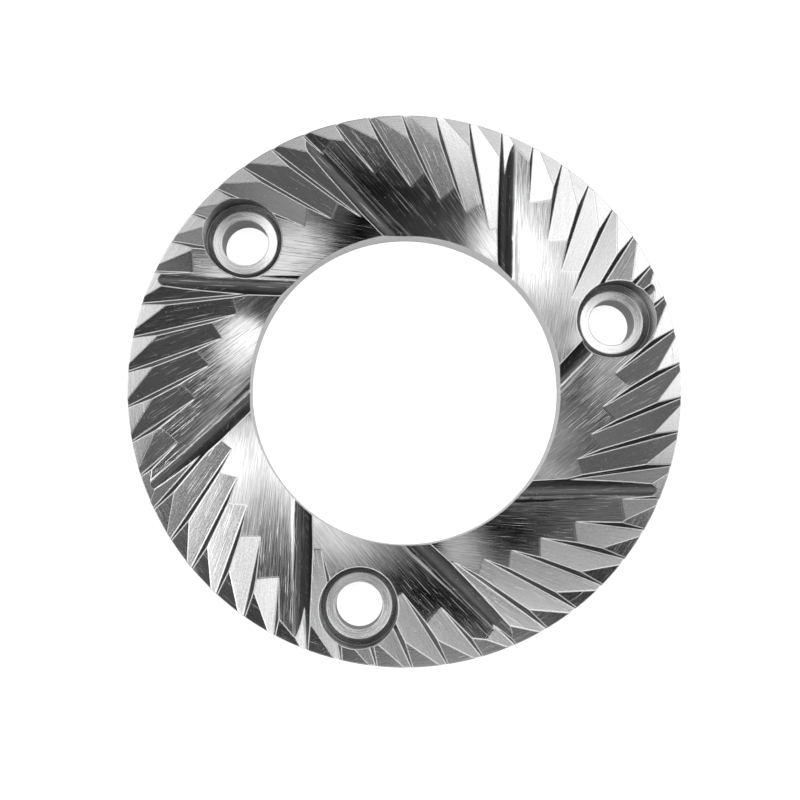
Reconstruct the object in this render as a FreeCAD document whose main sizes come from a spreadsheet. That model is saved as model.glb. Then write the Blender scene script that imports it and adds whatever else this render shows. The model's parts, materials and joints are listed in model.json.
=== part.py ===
import FreeCAD, Part
import os
import sys
from math import sin, tan

import Sketcher
from FreeCAD import Vector

# Flat coffee grinder burr: one hardened steel disc, ground flat on its back.
# Millimetres. The origin is the centre of the flat back face, +Z points out of
# the toothed face, and +X runs through one of the three screw holes.
#
# The toothed face is made of two sets of straight grooves. Both sets slant the
# same way, fall towards the bore and have a steep wall on their anticlockwise
# side and a long ramp on their clockwise side. Eight broad breaker grooves turn
# the face into a dish with eight steps. Fifty fine grooves start as small
# notches at the rim and run inwards until they come out above a breaker floor.

DOCUMENT = FreeCAD.newDocument("grinder_burr")

# Driving dimensions: name, value, what it is.
SIZES = [
    ("outer_diameter", 64.0, "rim of the disc"),
    ("bore_diameter", 37.0, "centre bore"),
    ("burr_height", 9.0, "back face to the flat land at the rim"),
    ("back_chamfer", 0.5, "edges of the back face at the rim and the bore"),
    ("screw_circle", 52.0, "circle through the screw hole centres"),
    ("screw_count", 3, "screw holes"),
    ("screw_hole", 5.5, "clearance hole for an M5 screw"),
    ("head_bore", 9.0, "counterbore for the screw head"),
    ("seat_depth", 4.7, "from the rim land down to the screw head seat"),
    ("seat_corner", 0.7, "bevel between the seat and the counterbore wall"),
    ("fine_count", 50, "fine grooves"),
    ("fine_start", 1.04, "angle of one fine groove at the rim, from +X"),
    ("fine_heading", 24.5, "groove line against the radius, at the rim"),
    ("fine_notch", 0.24, "depth of a fine groove at the rim"),
    ("fine_fall", 11.1, "fall of the groove bottom, degrees"),
    ("fine_ramp", 23.7, "rise of the ramp across the groove, degrees"),
    ("fine_lean", 36.0, "lean of the steep wall, degrees"),
    ("fine_overlap", 0.2, "how far a ramp's cut runs past its crest at the rim"),
    ("fine_lead", 6.0, "how far outside the rim a fine cut starts, on its line"),
    ("breaker_count", 8, "breaker grooves"),
    ("breaker_start", 6.44, "angle of one breaker wall at the rim, from +X"),
    ("breaker_heading", 22.5, "wall line against the radius, at the rim"),
    ("breaker_depth", 6.6, "depth of the wall's foot at the bore"),
    ("breaker_fall", 0.447, "fall of the floor towards the bore, mm per mm"),
    ("breaker_rise", 6.9, "rise of the floor from one wall to the next"),
    ("breaker_lean", 20.0, "lean of the breaker wall, degrees"),
    ("breaker_corner", 1.8, "radius between the wall and the floor"),
    ("wall_margin", 0.1, "gap that a floor leaves to the foot of the next wall"),
    ("cutter_margin", 1.0, "how far a cut starts outside the metal"),
    ("cutter_reach", 8.0, "how far a cut stands above the metal"),
]

SHEET = DOCUMENT.addObject("Spreadsheet::Sheet", "sizes")
for row, (alias, number, note) in enumerate(SIZES, start=1):
    SHEET.set("A%d" % row, alias)
    SHEET.set("B%d" % row, str(number))
    SHEET.set("C%d" % row, note)
    SHEET.setAlias("B%d" % row, alias)
DOCUMENT.recompute()

# Lengths and angles that follow from the driving dimensions.
RIM = "(sizes.outer_diameter / 2)"
BORE = "(sizes.bore_diameter / 2)"
TOP = "sizes.burr_height"
ABOVE = "(sizes.burr_height + sizes.cutter_reach)"
SEAT = "(sizes.burr_height - sizes.seat_depth)"
SCREW = "(sizes.screw_circle / 2)"

SECTOR = "(360 deg / sizes.breaker_count)"
BREAKER_HEADING = "(sizes.breaker_heading * 1 deg)"
BORE_ANGLE = f"(asin({RIM} * sin({BREAKER_HEADING}) / {BORE}) - {BREAKER_HEADING})"
OUTER_SECTION = f"({RIM} + sizes.cutter_margin)"
INNER_SECTION = f"({BORE} * cos({SECTOR} + {BORE_ANGLE}) - sizes.cutter_margin)"

FINE_START = "(sizes.fine_start * 1 deg)"
FINE_HEADING = "(sizes.fine_heading * 1 deg)"
FINE_FALL = "(sizes.fine_fall * 1 deg)"
FINE_RISE = "tan(sizes.fine_ramp * 1 deg)"
FINE_LEAN = "tan(sizes.fine_lean * 1 deg)"
FINE_PITCH = f"({RIM} * 2 * pi / sizes.fine_count * cos({FINE_HEADING}))"
FINE_WIDTH = f"({FINE_PITCH} / (1 + {FINE_RISE} * {FINE_LEAN}) + sizes.fine_overlap)"

BODY = DOCUMENT.addObject("PartDesign::Body", "Burr")
BODY.Label = "burr"


def number_of(expression):
    """The number that an expression of the sizes has."""
    return float(SHEET.evalExpression(expression))


def point_of(x, y):
    """The point in a section whose place two expressions give."""
    return Vector(number_of(x), number_of(y), 0)


def origin_feature(role):
    """The plane or axis of the disc's own origin that has this role."""
    for feature in BODY.Origin.OriginFeatures:
        if feature.Role == role:
            return feature
    raise ValueError("the origin has no " + role)


def new_section(name, role="XZ_Plane", place=None):
    """A section on an origin plane, or moved from it by a place expression."""
    section = BODY.newObject("Sketcher::SketchObject", name)
    section.AttachmentSupport = [(origin_feature(role), "")]
    section.MapMode = "FlatFace"
    if place:
        section.setExpression("AttachmentOffset", place)
    return section


def bind(section, name, constraint, expression):
    """Adds a named dimension that follows an expression of the sizes."""
    index = section.addConstraint(constraint)
    section.renameConstraint(index, name)
    section.setExpression("Constraints." + name, expression)


def bind_point(section, name, piece, end, x, y):
    """Places one end of a piece of outline at two expressions."""
    place = point_of(x, y)
    across = Sketcher.Constraint("DistanceX", -1, 1, piece, end, place.x)
    up = Sketcher.Constraint("DistanceY", -1, 1, piece, end, place.y)
    bind(section, name + "_x", across, x)
    bind(section, name + "_y", up, y)


def add_line(section, start, end):
    """One straight piece of an outline; gives its index."""
    return section.addGeometry(Part.LineSegment(start, end), False)


def round_corner(corner, before, after, radius):
    """A round of this radius in the corner between two straight pieces.

    The pieces run from the points before and after towards the corner. Gives
    the arc and the two points where it touches them.
    """
    back = (before - corner).normalize()
    onward = (after - corner).normalize()
    half = back.getAngle(onward) / 2
    touch = radius / tan(half)
    middle = corner + (back + onward).normalize() * (radius / sin(half))
    circle = Part.Circle(middle, Vector(0, 0, 1), radius)
    first = corner + back * touch
    last = corner + onward * touch
    arc = Part.ArcOfCircle(circle, circle.parameter(first), circle.parameter(last))
    return arc, first, last


def join(section, kind, pairs):
    """Joins the end of each piece to the start of the one that follows it."""
    for piece, following in pairs:
        section.addConstraint(Sketcher.Constraint(kind, piece, 2, following, 1))


def polygon(section, corners):
    """A closed outline with its corners at pairs of expressions; gives its lines."""
    points = [point_of(x, y) for x, y in corners]
    lines = []
    for start, end in zip(points, points[1:] + points[:1]):
        lines.append(add_line(section, start, end))
    join(section, "Coincident", zip(lines, lines[1:] + lines[:1]))
    for line, (x, y) in zip(lines, corners):
        bind_point(section, "corner%d" % line, line, 1, x, y)
    return lines


def volume():
    """The disc's volume after all that has been cut so far."""
    DOCUMENT.recompute()
    return BODY.Shape.Volume


def repeat_round_axis(name, feature, count):
    """Repeats a cut round the disc's axis and checks that it cuts."""
    before = volume()
    pattern = BODY.newObject("PartDesign::PolarPattern", name)
    pattern.Originals = [feature]
    pattern.Axis = (origin_feature("Z_Axis"), [""])
    pattern.Angle = 360
    pattern.setExpression("Occurrences", count)
    BODY.Tip = pattern
    if volume() >= before:
        sys.exit(name + " cuts nothing")


# Ring: the turned blank, flat on its toothed side, with a chamfered back.
def make_blank():
    section = new_section("blank_section")
    edge = "sizes.back_chamfer"
    polygon(section, [
        (f"{BORE} + {edge}", "0"),
        (f"{RIM} - {edge}", "0"),
        (RIM, edge),
        (RIM, TOP),
        (BORE, TOP),
        (BORE, edge),
    ])
    blank = BODY.newObject("PartDesign::Revolution", "blank")
    blank.Profile = section
    blank.ReferenceAxis = (section, ["V_Axis"])
    blank.Angle = 360


# Breaker grooves. Each one fills the sector between its own wall line and the
# next. The sector is lofted between two upright sections, one outside the rim
# and one inside the bore, which both stand across the breaker's own radius.
# In them x runs clockwise from that radius and y is the height. A section is a
# leaning wall, a round corner, the rising floor and a closed top.
def breaker_section(name, distance):
    place = (f"placement(vector({distance} * cos(sizes.breaker_start);"
             f" {distance} * sin(sizes.breaker_start); 0);"
             f" rotation(sizes.breaker_start - 90; 0; 90))")
    section = new_section(name, "XY_Plane", place)

    # The foot is where the wall and the floor would meet without the corner.
    foot_x = f"({RIM} - {distance}) * tan({BREAKER_HEADING})"
    foot_y = (f"{TOP} - sizes.breaker_depth + sizes.breaker_fall"
              f" * ({distance} - {BORE} * cos({BORE_ANGLE}))")
    end_x = (f"{RIM} * sin({SECTOR}) + ({RIM} * cos({SECTOR}) - {distance})"
             f" * tan({BREAKER_HEADING} - {SECTOR}) - sizes.wall_margin")
    end_y = f"{foot_y} + sizes.breaker_rise"
    lean = "sizes.breaker_lean * 1 deg"

    foot = point_of(foot_x, foot_y)
    wall_top = point_of(f"{foot_x} - ({ABOVE} - ({foot_y})) * tan({lean})", ABOVE)
    floor_end = point_of(end_x, end_y)
    side_top = point_of(end_x, ABOVE)
    radius = number_of("sizes.breaker_corner")

    rounding, wall_end, floor_start = round_corner(foot, wall_top, floor_end, radius)
    wall = add_line(section, wall_top, wall_end)
    arc = section.addGeometry(rounding, False)
    floor = add_line(section, floor_start, floor_end)
    side = add_line(section, floor_end, side_top)
    roof = add_line(section, side_top, wall_top)
    join(section, "Tangent", [(wall, arc), (arc, floor)])
    join(section, "Coincident", [(floor, side), (side, roof), (roof, wall)])
    section.addConstraint(Sketcher.Constraint("Vertical", side))
    section.addConstraint(Sketcher.Constraint("Horizontal", roof))

    mark = section.addGeometry(Part.Point(foot), True)
    section.addConstraint(Sketcher.Constraint("PointOnObject", mark, 1, wall))
    section.addConstraint(Sketcher.Constraint("PointOnObject", mark, 1, floor))
    bind_point(section, "foot", mark, 1, foot_x, foot_y)
    bind_point(section, "floor_end", floor, 2, end_x, end_y)
    leaning = Sketcher.Constraint("Angle", -2, 2, wall, 1, number_of(f"{lean} / 1 rad"))
    bind(section, "lean", leaning, lean)
    bind(section, "corner", Sketcher.Constraint("Radius", arc, radius), "sizes.breaker_corner")
    height = Sketcher.Constraint("DistanceY", -1, 1, side, 2, side_top.y)
    bind(section, "roof", height, ABOVE)
    return section


def make_breakers():
    outer = breaker_section("breaker_outer", OUTER_SECTION)
    inner = breaker_section("breaker_inner", INNER_SECTION)
    breaker = BODY.newObject("PartDesign::SubtractiveLoft", "breaker")
    breaker.Profile = outer
    breaker.Sections = [inner]
    breaker.Ruled = True
    BODY.Tip = breaker
    repeat_round_axis("breakers", breaker, "sizes.breaker_count")


# Fine grooves. Each one is a notch whose bottom line starts just below the land
# at the rim and falls towards the bore. Its section stands across that line,
# outside the rim: x runs clockwise and y stands square to the falling line.
# The cut ends where its line passes closest to the axis, inside the bore.
def make_fine_grooves():
    along = f"({RIM} + sizes.fine_lead * cos({FINE_FALL}) * cos({FINE_HEADING}))"
    aside = f"(sizes.fine_lead * cos({FINE_FALL}) * sin({FINE_HEADING}))"
    raised = f"({TOP} - sizes.fine_notch + sizes.fine_lead * sin({FINE_FALL}))"
    place = (f"placement(vector({along} * cos({FINE_START}) - {aside} * sin({FINE_START});"
             f" {along} * sin({FINE_START}) + {aside} * cos({FINE_START}); {raised});"
             f" rotation({FINE_START} + {FINE_HEADING} - 90 deg; 0; 90 deg + {FINE_FALL}))")
    section = new_section("fine_section", "XY_Plane", place)
    reach = "sizes.cutter_reach"
    polygon(section, [
        ("0", "0"),
        (FINE_WIDTH, f"{FINE_WIDTH} * {FINE_RISE}"),
        (FINE_WIDTH, reach),
        (f"-{reach} * {FINE_LEAN}", reach),
    ])
    groove = BODY.newObject("PartDesign::Pocket", "fine_groove")
    groove.Profile = section
    groove.Reversed = True
    groove.setExpression("Length", f"sizes.fine_lead + {RIM} * cos({FINE_HEADING})")
    BODY.Tip = groove
    repeat_round_axis("fine_grooves", groove, "sizes.fine_count")


# Screw holes: a clearance hole and a counterbore with a bevelled corner at its
# seat, turned about the screw's own axis.
def make_screw_holes():
    section = new_section("screw_hole_section")
    hole_x = f"{SCREW} + sizes.screw_hole / 2"
    head_x = f"{SCREW} + sizes.head_bore / 2"
    below = "-sizes.cutter_margin"
    corner = "sizes.seat_corner"
    lines = polygon(section, [
        (SCREW, ABOVE),
        (SCREW, below),
        (hole_x, below),
        (hole_x, SEAT),
        (f"{head_x} - {corner}", SEAT),
        (head_x, f"{SEAT} + {corner}"),
        (head_x, ABOVE),
    ])
    hole = BODY.newObject("PartDesign::Groove", "screw_hole")
    hole.Profile = section
    hole.ReferenceAxis = (section, ["Edge%d" % (lines[0] + 1)])
    hole.Angle = 360
    BODY.Tip = hole
    repeat_round_axis("screw_holes", hole, "sizes.screw_count")


def stop_on_faults():
    """Ends the run if a feature failed or the disc isn't one sound solid."""
    faults = [item.Name for item in DOCUMENT.Objects
              if "Invalid" in item.State or "Error" in item.State]
    shape = BODY.Shape
    if shape.isNull() or not shape.isValid() or len(shape.Solids) != 1:
        faults.append(BODY.Label)
    if faults:
        sys.exit("failed: " + ", ".join(faults))


make_blank()
make_breakers()
make_fine_grooves()
make_screw_holes()
DOCUMENT.recompute()
stop_on_faults()

os.makedirs("parts", exist_ok=True)
BODY.Shape.exportStep(os.path.join("parts", BODY.Label + ".step"))
print(BODY.Label, round(BODY.Shape.Volume, 1), "mm3", len(BODY.Shape.Faces), "faces")
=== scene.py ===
"""Looks of a flat coffee grinder burr: ground steel, studio light and the camera.

Everything is in metres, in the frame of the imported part: the origin is the
centre of the flat back face, +Z points out of the toothed face and +X runs
through the centre of one screw hole. Sizes of the burr are in millimetres.
"""

from __future__ import annotations

import json
import logging
import math
from dataclasses import dataclass
from enum import Enum

import bpy
from mathutils import Matrix, Vector

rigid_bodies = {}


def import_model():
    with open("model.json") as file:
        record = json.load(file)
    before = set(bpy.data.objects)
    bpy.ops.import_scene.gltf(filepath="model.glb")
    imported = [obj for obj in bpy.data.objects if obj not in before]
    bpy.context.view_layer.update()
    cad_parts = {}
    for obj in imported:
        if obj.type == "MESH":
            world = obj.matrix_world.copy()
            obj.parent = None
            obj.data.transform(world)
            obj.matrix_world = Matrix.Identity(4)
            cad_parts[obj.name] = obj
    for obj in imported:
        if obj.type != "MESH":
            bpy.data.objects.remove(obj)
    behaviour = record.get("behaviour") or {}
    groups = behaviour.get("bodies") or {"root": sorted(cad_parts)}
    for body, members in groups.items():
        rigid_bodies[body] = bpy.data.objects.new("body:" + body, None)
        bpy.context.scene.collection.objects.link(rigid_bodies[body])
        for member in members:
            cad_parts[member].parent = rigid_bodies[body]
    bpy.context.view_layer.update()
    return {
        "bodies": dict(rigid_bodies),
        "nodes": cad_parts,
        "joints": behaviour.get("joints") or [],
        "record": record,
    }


LOG = logging.getLogger("grinder_burr")
MILLIMETRE = 0.001
WHITE = (1.0, 1.0, 1.0, 1.0)
# From the part's +X to the picture's right, in degrees.
PICTURE_TURN = 18.0


class Kind(Enum):
    """The shader nodes that are used here."""

    OUTPUT = "ShaderNodeOutputMaterial"
    METAL = "ShaderNodeBsdfPrincipled"
    DIFFUSE = "ShaderNodeBsdfDiffuse"
    GLOW = "ShaderNodeEmission"
    BLEND = "ShaderNodeMixShader"
    ADD = "ShaderNodeAddShader"
    SKY = "ShaderNodeBackground"
    SKY_OUTPUT = "ShaderNodeOutputWorld"
    PLACE = "ShaderNodeTexCoord"
    RAYS = "ShaderNodeLightPath"
    SPLIT = "ShaderNodeSeparateXYZ"
    GATHER = "ShaderNodeCombineXYZ"
    MATH = "ShaderNodeMath"
    VECTOR = "ShaderNodeVectorMath"
    RANGE = "ShaderNodeMapRange"
    NOISE = "ShaderNodeTexNoise"
    BUMP = "ShaderNodeBump"
    BEVEL = "ShaderNodeBevel"
    SURFACE = "ShaderNodeNewGeometry"
    MIX = "ShaderNodeMix"


class Wire:
    """A socket whose arithmetic adds Math nodes to its bench."""

    def __init__(self, bench: Bench, socket: bpy.types.NodeSocket) -> None:
        """Wraps a node's output socket."""
        self.bench = bench
        self.socket = socket

    def __add__(self, other: Wire | float) -> Wire:
        """This value plus another."""
        return self.bench.sum(self, other)

    def __radd__(self, other: float) -> Wire:
        """A number plus this value."""
        return self.bench.sum(other, self)

    def __sub__(self, other: Wire | float) -> Wire:
        """This value less another."""
        return self.bench.maths("SUBTRACT", self, other)

    def __rsub__(self, other: float) -> Wire:
        """A number less this value."""
        return self.bench.maths("SUBTRACT", other, self)

    def __mul__(self, other: Wire | float) -> Wire:
        """This value times another."""
        return self.bench.maths("MULTIPLY", self, other)

    def __rmul__(self, other: float) -> Wire:
        """A number times this value."""
        return self.bench.maths("MULTIPLY", other, self)

    def __truediv__(self, other: Wire | float) -> Wire:
        """This value over another."""
        return self.bench.maths("DIVIDE", self, other)

    def __rtruediv__(self, other: float) -> Wire:
        """A number over this value."""
        return self.bench.maths("DIVIDE", other, self)


class Bench:
    """Builds the nodes of one material or of the world.

    Attributes:
        MIX_SOCKETS: numbers of a colour Mix node's factor and two colours.
        MIXED: number of its colour output.
    """

    MIX_SOCKETS = (0, 6, 7)
    MIXED = 2

    def __init__(self, owner: bpy.types.ID) -> None:
        """Empties the node tree of a material or world.

        Args:
            owner: the material or world.
        """
        owner.use_nodes = True
        self.tree = owner.node_tree
        self.tree.nodes.clear()

    def node(
        self,
        kind: Kind,
        settings: dict[str, object] | None = None,
        inputs: dict[str | int, object] | None = None,
    ) -> bpy.types.Node:
        """Adds one node.

        Args:
            kind: its type.
            settings: attributes that are set first, such as an operation.
            inputs: values or wires by socket name or number.

        Returns:
            The node.
        """
        made = self.tree.nodes.new(kind.value)
        for name, value in (settings or {}).items():
            setattr(made, name, value)
        for name, value in (inputs or {}).items():
            if isinstance(value, Wire):
                self.tree.links.new(value.socket, made.inputs[name])
            else:
                made.inputs[name].default_value = value
        return made

    def out(self, made: bpy.types.Node, name: str | int = 0) -> Wire:
        """A wire from one of a node's outputs."""
        return Wire(self, made.outputs[name])

    def maths(self, operation: str, *values: Wire | float) -> Wire:
        """One Math node.

        Args:
            operation: the name of the operation.
            values: its inputs, in order.

        Returns:
            The result.
        """
        made = self.node(Kind.MATH, {"operation": operation}, dict(enumerate(values)))
        return self.out(made)

    def sum(self, *values: Wire | float) -> Wire:
        """The sum of two values."""
        return self.maths("ADD", *values)

    def step(self, value: Wire, low: float, high: float) -> Wire:
        """A smooth step.

        Args:
            value: what is tested.
            low: where the result is 0.
            high: where the result is 1.

        Returns:
            The mask.
        """
        made = self.node(Kind.RANGE, {"interpolation_type": "SMOOTHSTEP"},
                         {"Value": value, "From Min": low, "From Max": high})
        return self.out(made, "Result")

    def gather(self, x: Wire | float, y: Wire | float, z: Wire | float) -> Wire:
        """A vector of three values."""
        return self.out(self.node(Kind.GATHER, None, {0: x, 1: y, 2: z}))

    def noise(self, place: Wire, detail: float, roughness: float = 0.5) -> Wire:
        """Noise at a place.

        Args:
            place: the vector, already scaled.
            detail: octaves.
            roughness: share of the finer octaves.

        Returns:
            The value, about 0 to 1.
        """
        made = self.node(Kind.NOISE, None, {"Vector": place, "Scale": 1.0, "Detail": detail,
                                            "Roughness": roughness})
        return self.out(made, "Fac")

    def blend(self, mask: Wire | float, low: Wire | float, high: Wire | float) -> Wire:
        """Goes from low to high as the mask goes from 0 to 1."""
        return low + mask * (high - low) if isinstance(low, Wire) else mask * (high - low) + low

    def tint(self, mask: Wire, low: Wire, high: tuple[float, float, float]) -> Wire:
        """Goes from one colour to another as a mask goes from 0 to 1.

        Args:
            mask: the share of the second colour.
            low: the first colour.
            high: the second colour.

        Returns:
            The colour.
        """
        values = dict(zip(self.MIX_SOCKETS, (mask, low, (*high, 1.0))))
        return self.out(self.node(Kind.MIX, {"data_type": "RGBA"}, values), self.MIXED)


@dataclass(frozen=True)
class GrooveSet:
    """Straight grooves round the burr, as in the part's own drawing.

    Attributes:
        count: how many there are.
        start: angle of one of them at the rim, in degrees.
        heading: its line against the radius at the rim, in degrees.
        rim: radius of the rim, in millimetres.
    """

    count: int
    start: float
    heading: float
    rim: float = 32.0

    @property
    def pitch(self) -> float:
        """Angle from one groove to the next, in radians."""
        return 2 * math.pi / self.count

    @property
    def offset(self) -> float:
        """Distance of a groove's line from the axis."""
        return self.rim * math.sin(math.radians(self.heading))


@dataclass(frozen=True)
class GroovePlace:
    """Where a shaded point lies in its groove.

    Attributes:
        number: the groove's number, clockwise.
        along: distance along the groove's line, outwards.
        across: distance from the groove's line, clockwise.
        lean_along: the surface normal's part along the line.
        lean_across: its part across the line, clockwise.
    """

    number: Wire
    along: Wire
    across: Wire
    lean_along: Wire
    lean_across: Wire


@dataclass(frozen=True)
class ScrewHoles:
    """The counterbored screw holes.

    Attributes:
        count: how many there are, the first on +X.
        circle: radius of the circle that they lie on, in millimetres.
        reach: just over the counterbore's radius.
        dish: how fast the cutter's dish rises from the hole's axis, in
            depths of a cutting line per square millimetre.
    """

    count: int = 3
    circle: float = 26.0
    reach: float = 4.53
    dish: float = 2.4


@dataclass(frozen=True)
class Course:
    """The way that the cutting lines run at a shaded point.

    Attributes:
        along: distance along a line, in millimetres.
        across: distance across the lines, in millimetres.
        seed: which piece of the surface it is.
    """

    along: Wire
    across: Wire
    seed: Wire | float


class Survey:
    """Places and normals of a shaded point on the burr, in millimetres.

    The pairs are where a mask is 0 and where it is 1, by how far the normal
    points up.

    Attributes:
        GENTLE: from the steep walls to the ramps and floors.
        OFF_BACK: from the back to everything else.
        TURNED_SEED: sets the turned lines apart from the others.
        MASK_EDGE: how soft the edge of the hole mask is, in millimetres.
    """

    GENTLE = (0.60, 0.75)
    OFF_BACK = (-0.9, -0.5)
    TURNED_SEED = 41.3
    MASK_EDGE = 0.03

    def __init__(self, bench: Bench) -> None:
        """Reads the object coordinates.

        Args:
            bench: where the nodes are added.
        """
        self.bench = bench
        place = bench.node(Kind.PLACE)
        point = bench.node(Kind.SPLIT, None, {0: bench.out(place, "Object")})
        normal = bench.node(Kind.SPLIT, None, {0: bench.out(place, "Normal")})
        self.x, self.y, self.z = (bench.out(point, axis) * (1 / MILLIMETRE) for axis in range(3))
        self.nx, self.ny, self.nz = (bench.out(normal, axis) for axis in range(3))
        self.radius = bench.maths("SQRT", self.x * self.x + self.y * self.y)
        self.angle = bench.maths("ARCTAN2", self.y, self.x)
        self.steep = 1 - bench.step(self.nz, *self.GENTLE)

    def groove(self, grooves: GrooveSet) -> GroovePlace:
        """Finds the groove that a point lies in.

        A steep wall stands on the far side of its own groove's line, so there
        the nearest line counts.

        Args:
            grooves: the set.

        Returns:
            The place in its groove.
        """
        bench = self.bench
        heading = math.radians(grooves.heading)
        line = self.angle - heading + bench.maths("ARCSINE", grooves.offset / self.radius)
        turns = (math.radians(grooves.start) - line) / grooves.pitch
        number = bench.maths("FLOOR", turns + self.steep * 0.5)
        course = (math.radians(grooves.start) + heading) - number * grooves.pitch
        sine, cosine = bench.maths("SINE", course), bench.maths("COSINE", course)
        return GroovePlace(
            number=number,
            along=self.x * cosine + self.y * sine,
            across=self.x * sine - self.y * cosine - grooves.offset,
            lean_along=self.nx * cosine + self.ny * sine,
            lean_across=self.nx * sine - self.ny * cosine,
        )

    def turned(self) -> Course:
        """Lines that a lathe leaves round the burr's axis."""
        return Course(self.angle * self.radius, self.radius + self.z, self.TURNED_SEED)

    def bored(self, holes: ScrewHoles) -> tuple[Course, Wire, Wire]:
        """Lines that the counterbore leaves round a screw's axis.

        Args:
            holes: the screw holes.

        Returns:
            The lines, a mask that is 1 in a screw hole, and the height of
            the seat's shallow dish, in depths of a cutting line.
        """
        bench = self.bench
        share = 2 * math.pi / holes.count
        turned = self.angle - bench.maths("ROUND", self.angle / share) * share
        x = self.radius * bench.maths("COSINE", turned) - holes.circle
        y = self.radius * bench.maths("SINE", turned)
        distance = bench.maths("SQRT", x * x + y * y)
        round_hole = bench.maths("ARCTAN2", y, x) * distance
        off_back = bench.step(self.nz, *self.OFF_BACK)
        inside = (1 - bench.step(distance, holes.reach, holes.reach + self.MASK_EDGE)) * off_back
        within = bench.maths("MINIMUM", distance, holes.reach)
        dish = within * within * holes.dish
        return Course(round_hole, distance + self.z, self.angle * 2), inside, dish * off_back


@dataclass(frozen=True)
class Zones:
    """Which cut made a shaded point.

    Attributes:
        course: the way that its cutting lines run.
        ground: 1 on the finely ground ramps, fine walls and lands.
        walls: 1 on the steep walls of the grooves and at their feet.
        turned: 1 on the rim, the bore, the back and in the screw holes.
        seats: 1 on the level seats in the screw holes.
        bores: 1 on the upright walls of the screw holes.
        dish: height of the seats' shallow dish.
    """

    course: Course
    ground: Wire
    walls: Wire
    turned: Wire
    seats: Wire
    bores: Wire
    dish: Wire


@dataclass(frozen=True)
class LineSize:
    """One layer of cutting lines.

    Attributes:
        width: of one line, in millimetres.
        length: of one line, in millimetres.
        shift: sets the layers apart.
    """

    width: float
    length: float
    shift: float


@dataclass(frozen=True)
class Marked:
    """The marks at a shaded point, each about 0 to 1.

    Attributes:
        texture: the cutting lines, with grain on the ground faces.
        bands: the broader bands between the lines.
        scratches: the long fine scratches.
        specks: the bright specks.
    """

    texture: Wire
    bands: Wire
    scratches: Wire
    specks: Wire


@dataclass(frozen=True)
class Marks:
    """The lines, scratches and grain that the cutting leaves.

    A pair is where a step is 0 and where it is 1.

    Attributes:
        cut: the cutting lines.
        bands: the broader bands between them.
        scratches: the long fine scratches.
        octaves: of the noise behind all of them.
        ragged: share of the finer octaves in the lines.
        grains: how many grains there are in a millimetre.
        grain_share: how much of a ground face's texture is grain.
        scratched: which of the fine lines are scratches.
        specked: which of the grains are specks.
        textured: what brings out the texture.
    """

    cut: LineSize = LineSize(0.12, 2.8, 0.0)
    bands: LineSize = LineSize(0.3, 8.0, 3.3)
    scratches: LineSize = LineSize(0.11, 5.0, 8.9)
    octaves: float = 2.0
    ragged: float = 0.55
    grains: float = 5.0
    grain_share: float = 0.55
    scratched: tuple[float, float] = (0.62, 0.72)
    specked: tuple[float, float] = (0.71, 0.76)
    textured: tuple[float, float] = (0.27, 0.73)

    def lines(self, bench: Bench, course: Course, size: LineSize) -> Wire:
        """Lines of one size.

        Args:
            bench: where the nodes are added.
            course: how they run.
            size: their size.

        Returns:
            A value about 0 to 1.
        """
        along = course.along * (1 / size.length)
        across = course.across * (1 / size.width)
        place = bench.gather(along, across, course.seed + size.shift)
        return bench.noise(place, self.octaves, self.ragged)

    def at(self, survey: Survey, zones: Zones) -> Marked:
        """The marks at a shaded point.

        Args:
            survey: the shaded point.
            zones: which cut made it.

        Returns:
            The marks.
        """
        bench, course = survey.bench, zones.course
        lines = self.lines(bench, course, self.cut)
        fine = self.lines(bench, course, self.scratches)
        place = bench.gather(*(part * self.grains for part in (survey.x, survey.y, survey.z)))
        grain = bench.noise(place, self.octaves)
        grainy = lines * (1 - self.grain_share) + grain * self.grain_share
        return Marked(
            texture=bench.step(bench.blend(zones.ground, lines, grainy), *self.textured),
            bands=self.lines(bench, course, self.bands),
            scratches=bench.step(fine, *self.scratched),
            specks=bench.step(grain, *self.specked),
        )


@dataclass(frozen=True)
class ZoneEdges:
    """Where one kind of cut face goes over into another.

    A pair is where the step begins and where it ends.

    Attributes:
        off_ramp: distance from a fine ramp's plane, in millimetres.
        on_wall: how well the normal fits a fine groove's steep wall's.
        level_land: how far up a land's normal points.
        land_height: height of the lands, in millimetres.
        off_upright: how far up a normal points that isn't on an upright wall.
        level_seat: how far up a seat's normal points.
        foot_lean: how far the normal leans across the line where a breaker's
            floor turns up into its steep wall.
        turned_edge: how far the rounded normal turns where an edge gets its painted highlight.
    """

    off_ramp: tuple[float, float] = (0.015, 0.03)
    on_wall: tuple[float, float] = (0.9985, 0.9995)
    level_land: tuple[float, float] = (0.995, 0.999)
    land_height: tuple[float, float] = (8.95, 8.98)
    off_upright: tuple[float, float] = (0.1, 0.25)
    level_seat: tuple[float, float] = (0.55, 0.9)
    foot_lean: tuple[float, float] = (-0.355, -0.27)
    turned_edge: tuple[float, float] = (0.008, 0.04)


@dataclass(frozen=True)
class Relief:
    """How deep the marks go, as shares of a cutting line's depth.

    Attributes:
        depth: of a cutting line, in millimetres.
        texture: the cutting lines and the grain.
        bands: the broader bands.
        scratches: the long fine scratches.
        ground: all of them on the ground faces, beside the others.
    """

    depth: float = 0.006
    texture: float = 0.4
    bands: float = 0.2
    scratches: float = 0.8
    ground: float = 0.45


@dataclass(frozen=True)
class Gloss:
    """How rough the cut faces are.

    Attributes:
        base: the ground faces and the breaker floors.
        spread: how far the texture takes it up and down.
        walls: what the steep walls have more.
        turned: what the turned faces have more.
        sheen_and_wear: what the edges with their painted highlight and the burnished scratches have
            more.
    """

    base: float = 0.115
    spread: float = 0.035
    walls: float = 0.25
    turned: float = 0.15
    sheen_and_wear: float = 0.2


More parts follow.
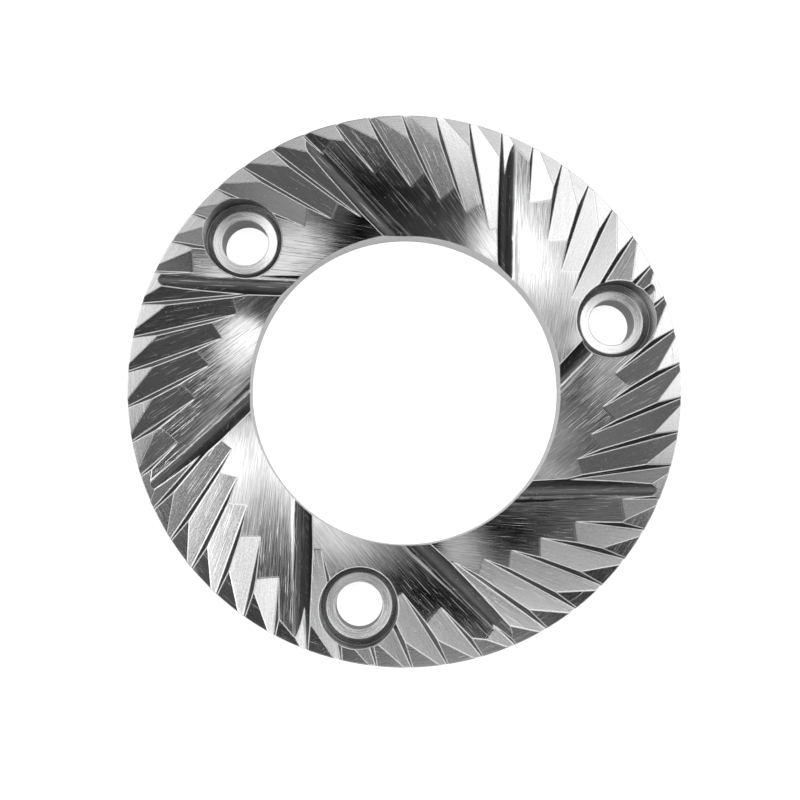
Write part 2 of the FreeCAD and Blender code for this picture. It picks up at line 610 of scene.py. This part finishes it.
@dataclass(frozen=True)
class GroundSteel:
    """Hardened steel: turned, then cut with grooves and ground on its lands.

    Attributes:
        tone: base colour of the clean metal.
        sheen_and_wear_tone: base colour of the painted highlight on the edges and of the burnished
            scratches and specks.
        painted_wall_shade: painted shade that darkens the steep walls and the feet of the breaker
            walls, where the grooves lie in shade, beside the ground faces.
        painted_seat_light: painted light that brightens the seats of the screw holes beside them.
        painted_bore_shade: painted shade that darkens the walls of the screw holes beside them.
        brushed_contrast: of the texture where it is only lines.
        ground_contrast: of the texture on the ground faces.
        scratch_wear: how burnished a scratch is.
        speck_wear: how burnished a speck is.
        sheen_and_wear_paleness: how far a place with a painted edge highlight, or a burnished
            scratch or speck, is from mirroring as metal.
        gloss: its roughness.
        relief: its marks' depths.
        edge_width: radius of the rounded edges, which also sets the width of their painted
            highlight, in millimetres.
        edge_samples: of the rounding at the edges.
        fine: the fine grooves.
        breakers: the breaker grooves.
        holes: the screw holes.
        ramp_normal: a fine ramp's normal: along, across and up.
        ramp_foot: where that ramp meets the rim: along and up, in millimetres.
        wall_normal: a fine groove's steep wall's normal, in the same way.
        fan: distance from a breaker's line inwards to where its lines meet.
        fan_width: distance from there to where the lines have their own width.
        seeds: what sets one breaker's lines, their set and one ramp's apart.
        marks: what the cutting leaves.
        edges: where one kind of face ends.
    """

    tone: tuple[float, float, float] = (0.60, 0.60, 0.605)
    sheen_and_wear_tone: tuple[float, float, float] = (0.95, 0.95, 0.95)
    painted_wall_shade: float = 0.15
    painted_seat_light: float = 1.35
    painted_bore_shade: float = 0.35
    brushed_contrast: float = 0.18
    ground_contrast: float = 0.11
    scratch_wear: float = 0.4
    speck_wear: float = 0.55
    sheen_and_wear_paleness: float = 0.8
    gloss: Gloss = Gloss()
    relief: Relief = Relief()
    edge_width: float = 0.20
    edge_samples: int = 8
    fine: GrooveSet = GrooveSet(50, 1.04, 24.5)
    breakers: GrooveSet = GrooveSet(8, 6.44, 22.5)
    holes: ScrewHoles = ScrewHoles()
    ramp_normal: tuple[float, float, float] = (-0.1763, -0.4019, 0.8986)
    ramp_foot: tuple[float, float] = (29.12, 8.76)
    wall_normal: tuple[float, float, float] = (-0.1132, 0.8090, 0.5768)
    fan: float = 37.0
    fan_width: float = 57.0
    seeds: tuple[float, float, float] = (5.1, 90.0, 3.7)
    marks: Marks = Marks()
    edges: ZoneEdges = ZoneEdges()

    def in_fine_groove(self, survey: Survey, place: GroovePlace) -> Wire:
        """A mask of the fine grooves' ramps and steep walls.

        Args:
            survey: the shaded point.
            place: its place in its fine groove.

        Returns:
            1 on them, 0 on the breaker floors, the lands and the turned faces.
        """
        bench = survey.bench
        along, across, up = self.ramp_normal
        gap = ((place.along - self.ramp_foot[0]) * along + place.across * across
               + (survey.z - self.ramp_foot[1]) * up)
        on_ramp = 1 - bench.step(bench.maths("ABSOLUTE", gap), *self.edges.off_ramp)
        along, across, up = self.wall_normal
        facing = place.lean_along * along + place.lean_across * across + survey.nz * up
        return bench.maths("MAXIMUM", on_ramp, bench.step(facing, *self.edges.on_wall))

    def zones(self, survey: Survey) -> Zones:
        """Finds which cut made a shaded point.

        Args:
            survey: the shaded point.

        Returns:
            The course of its lines and the masks of its finish.
        """
        bench, edges = survey.bench, self.edges
        fine = survey.groove(self.fine)
        breaker = survey.groove(self.breakers)
        breaker_seed, floor_seed, ramp_seed = self.seeds
        spread = breaker.across / (breaker.along + self.fan) * self.fan_width
        floor = Course(breaker.along, spread, breaker.number * breaker_seed + floor_seed)
        ramp = Course(fine.along, fine.across, fine.number * ramp_seed)
        bored, in_hole, dish = survey.bored(self.holes)
        in_groove = self.in_fine_groove(survey, fine)
        land = bench.step(survey.nz, *edges.level_land) * bench.step(survey.z, *edges.land_height)
        ground = bench.maths("MAXIMUM", in_groove, land)
        upright = 1 - bench.step(survey.nz, *edges.off_upright)
        course = self.choose(bench, in_groove, floor, ramp)
        course = self.choose(bench, bench.maths("MAXIMUM", land, upright), course, survey.turned())
        turned = bench.maths("MAXIMUM", upright, in_hole)
        level = bench.step(survey.nz, *edges.level_seat)
        # The foot of a breaker wall, where its floor turns up, takes the painted wall shade and the
        # walls' roughness as well.
        foot = bench.step(breaker.lean_across, *edges.foot_lean) * (1 - ground)
        return Zones(
            course=self.choose(bench, in_hole, course, bored),
            ground=ground,
            walls=bench.maths("MAXIMUM", survey.steep, foot) * (1 - turned),
            turned=turned,
            seats=in_hole * level,
            bores=in_hole * (1 - level),
            dish=dish,
        )

    def choose(self, bench: Bench, mask: Wire, first: Course, second: Course) -> Course:
        """Takes one course or another.

        Args:
            bench: where the nodes are added.
            mask: 0 where the first holds and 1 where the second does.
            first: the first course.
            second: the second course.

        Returns:
            The course.
        """
        return Course(bench.blend(mask, first.along, second.along),
                      bench.blend(mask, first.across, second.across),
                      bench.blend(mask, first.seed, second.seed))

    def edge(self, bench: Bench) -> tuple[Wire, Wire]:
        """The rounded edges, and where their painted highlight lies.

        Args:
            bench: where the nodes are added.

        Returns:
            The rounded normal, and a mask that is 1 on an edge, where a highlight is painted.
        """
        bevel = bench.node(Kind.BEVEL, {"samples": self.edge_samples},
                           {"Radius": self.edge_width * MILLIMETRE})
        rounded = bench.out(bevel)
        flat = bench.out(bench.node(Kind.SURFACE), "True Normal")
        facing = bench.node(Kind.VECTOR, {"operation": "DOT_PRODUCT"}, {0: rounded, 1: flat})
        return rounded, bench.step(1 - bench.out(facing, "Value"), *self.edges.turned_edge)

    def shade(self, bench: Bench, zones: Zones, texture: Wire) -> Wire:
        """How bright the clean metal is beside its tone: the cutting lines, painted shade on the
        steep walls, their feet and the screw holes' walls, and painted light on the seats.

        Args:
            bench: where the nodes are added.
            zones: the masks of the finish.
            texture: the cutting lines and the grain, 0 to 1.

        Returns:
            What the tone is multiplied by.
        """
        contrast = bench.blend(zones.ground, self.brushed_contrast, self.ground_contrast)
        lined = 1 + (texture * 2.0 - 1.0) * contrast
        # Painted shade: the steep walls and the feet of the breaker walls are darkened.
        walls = bench.blend(zones.walls, 1.0, self.painted_wall_shade)
        # Painted light: the seats of the screw holes are brightened.
        seats = bench.blend(zones.seats, 1.0, self.painted_seat_light)
        # Painted shade: the upright walls of the screw holes are darkened.
        bores = bench.blend(zones.bores, 1.0, self.painted_bore_shade)
        return lined * walls * seats * bores

    def height(self, bench: Bench, zones: Zones, marked: Marked) -> Wire:
        """The relief of the marks and of the seats' dish.

        Args:
            bench: where the nodes are added.
            zones: the masks of the finish.
            marked: the marks.

        Returns:
            The height, in depths of a cutting line.
        """
        relief = self.relief
        cut = (marked.texture * relief.texture + marked.bands * relief.bands
               + marked.scratches * relief.scratches)
        return cut * bench.blend(zones.ground, 1.0, relief.ground) + zones.dish

    def roughness(self, bench: Bench, zones: Zones, texture: Wire, sheen_and_wear: Wire) -> Wire:
        """How rough the metal is.

        Args:
            bench: where the nodes are added.
            zones: the masks of the finish.
            texture: the cutting lines and the grain, 0 to 1.
            sheen_and_wear: how far it carries the painted edge highlight or burnished scratches and
                specks, 0 to 1.

        Returns:
            The roughness.
        """
        gloss = self.gloss
        lined = bench.blend(texture, gloss.base - gloss.spread, gloss.base + gloss.spread)
        return lined + zones.walls * gloss.walls + zones.turned * gloss.turned + sheen_and_wear * gloss.sheen_and_wear

    def material(self) -> bpy.types.Material:
        """Builds the material.

        Returns:
            The material.
        """
        made = bpy.data.materials.new("ground_steel")
        bench = Bench(made)
        survey = Survey(bench)
        zones = self.zones(survey)
        marked = self.marks.at(survey, zones)
        rounded, edge = self.edge(bench)
        scratched = marked.scratches * self.scratch_wear
        specked = marked.specks * self.speck_wear
        # Painted highlight: the edges turn pale and less metallic; the scratches and specks are
        # burnished wear.
        sheen_and_wear = bench.maths("MAXIMUM", edge, bench.maths("MAXIMUM", scratched, specked))
        # The tone times shade(): the cutting lines, painted shade on the walls and hole walls, and
        # painted light on the seats.
        clean = bench.node(Kind.VECTOR, {"operation": "SCALE"}, {
            0: self.tone, "Scale": self.shade(bench, zones, marked.texture)})
        bump = bench.node(Kind.BUMP, None, {
            "Strength": 1.0,
            "Distance": self.relief.depth * MILLIMETRE,
            "Height": self.height(bench, zones, marked),
            "Normal": rounded})
        metal = bench.node(Kind.METAL, None, {
            "Base Color": bench.tint(sheen_and_wear, bench.out(clean), self.sheen_and_wear_tone),
            "Metallic": 1 - sheen_and_wear * self.sheen_and_wear_paleness,
            "Roughness": self.roughness(bench, zones, marked.texture, sheen_and_wear),
            "Normal": bench.out(bump)})
        bench.node(Kind.OUTPUT, None, {"Surface": bench.out(metal)})
        return made


@dataclass
class Burr:
    """The one-piece steel burr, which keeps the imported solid's mesh.

    Attributes:
        node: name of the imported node.
        steel: its finish.
    """

    node: str = "burr"
    steel: GroundSteel = GroundSteel()

    def dress(self, frame: dict) -> None:
        """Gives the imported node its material.
        """
        solid = frame["nodes"][self.node]
        solid.data.materials.clear()
        solid.data.materials.append(self.steel.material())
        LOG.info("%s: ground steel on %d facets", self.node, len(solid.data.polygons))


@dataclass(frozen=True)
class SoftBox:
    """A soft light far from the burr.

    Attributes:
        tilt: angle from straight overhead, in degrees.
        bearing: direction in the picture, anticlockwise from its right, in degrees.
        spread: half width, in degrees.
        strength: brightness in its middle.
    """

    tilt: float
    bearing: float
    spread: float
    strength: float


@dataclass
class PhotoCamera:
    """The photograph's camera, fitted to the burr's circles.

    Attributes:
        focal_pixels: focal length in pixels of the 800 pixel frame.
        centre_pixels: where the optical axis meets the frame, from its top left.
        pitch: turn about the picture's x axis, in radians.
        yaw: turn about its y axis, in radians.
        offset: place of the rim plane's centre before the camera, in millimetres.
        rim_height: of the rim plane over the back, in millimetres.
        frame_pixels: side of the photograph's frame, in pixels.
        sensor: width of the sensor, in millimetres.
        near: where the camera starts to see, in metres.
    """

    focal_pixels: float = 1300.0
    centre_pixels: tuple[float, float] = (440.0, 350.0)
    pitch: float = -0.115
    yaw: float = 0.047
    offset: tuple[float, float, float] = (-3.803, -4.01, -150.067)
    rim_height: float = 9.0
    frame_pixels: float = 800.0
    sensor: float = 36.0
    near: float = 0.005

    def placement(self) -> Matrix:
        """Turns the fitted view into the part's frame.

        Returns:
            The camera's place, in metres.
        """
        look = Matrix.Rotation(self.pitch, 3, "X") @ Matrix.Rotation(self.yaw, 3, "Y")
        rotation = look @ Matrix.Rotation(math.radians(PICTURE_TURN), 3, "Z")
        shift = Vector(self.offset) - look @ Vector((0, 0, self.rim_height))
        place = rotation.transposed().to_4x4()
        place.translation = -(rotation.transposed() @ shift) * MILLIMETRE
        return place

    def set_up(self) -> None:
        """Adds the camera to the scene."""
        data = bpy.data.cameras.new("photo_camera")
        data.sensor_width = self.sensor
        data.lens = self.focal_pixels / self.frame_pixels * data.sensor_width
        data.shift_x = 0.5 - self.centre_pixels[0] / self.frame_pixels
        data.shift_y = self.centre_pixels[1] / self.frame_pixels - 0.5
        data.clip_start = self.near
        camera = bpy.data.objects.new("photo_camera", data)
        camera.matrix_world = self.placement()
        bpy.context.scene.collection.objects.link(camera)
        bpy.context.scene.camera = camera
        LOG.info("camera: %.1f mm lens", data.lens)


@dataclass
class Studio:
    """The pale floor and the soft light round the burr.

    Attributes:
        boxes: the soft lights.
        dim: brightness of the rest of the room.
        floor_size: side of the floor, in metres.
        floor_gap: how far it lies under the burr, so that they don't overlap.
        floor_tone: colour of the floor.
        floor_glow: what whitens the floor for the camera.
        mirrored_glow: the share of that which the steel mirrors.
    """

    boxes: tuple[SoftBox, ...] = (
        SoftBox(85, 200, 44, 0.92),
        SoftBox(36, 4, 11, 3.48),
        SoftBox(28, 160, 20, 1.87),
        SoftBox(84, 30, 24, 1.41),
        SoftBox(66, 15, 24, 1.21),
        SoftBox(37, 194, 14, 1.79),
        SoftBox(72, 57, 20, 1.07),
        SoftBox(20, 53, 17, 1.19),
        SoftBox(56, 224, 16, 1.21),
        SoftBox(59, 341, 9, 1.96),
        SoftBox(84, 150, 24, 0.71),
        SoftBox(54, 210, 10, 1.60),
        SoftBox(50, 173, 14, 1.14),
        SoftBox(39, 54, 16, 0.90),
        SoftBox(29, 355, 19, 0.75),
        SoftBox(52, 20, 14, 1.02),
        SoftBox(54, 305, 11, 1.25),
        SoftBox(40, 71, 12, 1.14),
        SoftBox(40, 83, 14, 0.81),
        SoftBox(28, 215, 16, 0.66),
        SoftBox(67, 95, 14, 0.68),
        SoftBox(18, 126, 14, 0.67),
        SoftBox(15, 285, 11, 0.84),
        SoftBox(69, 128, 14, 0.58),
        SoftBox(16, 32, 10, 0.77),
        SoftBox(84, 210, 24, 0.30),
        SoftBox(35, 28, 21, 0.32),
        SoftBox(49, 196, 10, 0.65),
        SoftBox(48, 100, 13, 0.40),
        SoftBox(24, 181, 24, 0.20),
        SoftBox(40, 276, 10, 0.40),
        SoftBox(84, 240, 24, 0.17),
        SoftBox(52, 129, 15, 0.25),
        SoftBox(61, 232, 25, 0.13),
        SoftBox(84, 330, 24, 0.13),
        SoftBox(84, 270, 24, 0.13),
        SoftBox(61, 146, 11, 0.28),
        SoftBox(33, 258, 14, 0.18),
        SoftBox(40, 331, 21, 0.11),
        SoftBox(62, 329, 20, 0.09),
        SoftBox(48, 293, 13, 0.11),
        SoftBox(59, 158, 12, 0.11),
        SoftBox(57, 349, 14, 0.09),
    )
    dim: float = 0.005
    floor_size: float = 4.0
    floor_gap: float = 0.00002
    floor_tone: tuple[float, float, float, float] = (0.9, 0.9, 0.9, 1.0)
    floor_glow: float = 0.88
    mirrored_glow: float = 0.25

    def light_world(self) -> None:
        """Sets the soft lights as bright patches of the world round the burr."""
        world = bpy.data.worlds.new("studio")
        bpy.context.scene.world = world
        bench = Bench(world)
        place = bench.node(Kind.PLACE)
        total: Wire | float = self.dim
        for box in self.boxes:
            tilt, bearing = math.radians(box.tilt), math.radians(box.bearing - PICTURE_TURN)
            level = math.sin(tilt)
            towards = (level * math.cos(bearing), level * math.sin(bearing), math.cos(tilt))
            facing = bench.node(Kind.VECTOR, {"operation": "DOT_PRODUCT"},
                                {0: bench.out(place, "Generated"), 1: towards})
            patch = bench.step(bench.out(facing, "Value"), math.cos(math.radians(box.spread)), 1.0)
            total = patch * box.strength + total
        rays = bench.node(Kind.RAYS)
        seen = bench.out(rays, "Is Camera Ray")
        strength = bench.blend(seen, total, 1.0)
        sky = bench.node(Kind.SKY, None, {"Color": WHITE, "Strength": strength})
        bench.node(Kind.SKY_OUTPUT, None, {"Surface": bench.out(sky)})
        LOG.info("studio: %d soft lights", len(self.boxes))

    def lay_floor(self) -> None:
        """Adds the pale floor that the burr lies on."""
        half = self.floor_size / 2
        mesh = bpy.data.meshes.new("floor")
        low = -self.floor_gap
        corners = [(-half, -half, low), (half, -half, low), (half, half, low), (-half, half, low)]
        mesh.from_pydata(corners, [], [(0, 1, 2, 3)])
        floor = bpy.data.objects.new("floor", mesh)
        bpy.context.scene.collection.objects.link(floor)
        made = bpy.data.materials.new("pale_floor")
        bench = Bench(made)
        paper = bench.out(bench.node(Kind.DIFFUSE, None, {"Color": self.floor_tone}))
        glow = bench.out(bench.node(Kind.GLOW, None, {"Color": WHITE, "Strength": self.floor_glow}))
        lit = bench.out(bench.node(Kind.ADD, None, {0: paper, 1: glow}))
        rays = bench.node(Kind.RAYS)
        mirrored = bench.out(rays, "Is Glossy Ray") * self.mirrored_glow
        seen = bench.maths("MAXIMUM", bench.out(rays, "Is Camera Ray"), mirrored)
        mixed = bench.node(Kind.BLEND, None, {0: seen, 1: paper, 2: lit})
        bench.node(Kind.OUTPUT, None, {"Surface": bench.out(mixed)})
        mesh.materials.append(made)
        LOG.info("floor: %.1f m square", self.floor_size)


def main() -> None:
    """Dresses the burr, lights it and sets up the camera."""
    logging.basicConfig(level=logging.INFO, format="%(name)s: %(message)s")
    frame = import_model()
    Burr().dress(frame)
    studio = Studio()
    studio.lay_floor()
    studio.light_world()
    PhotoCamera().set_up()
    bpy.context.scene.view_settings.view_transform = "Standard"


if __name__ == "__main__":
    main()
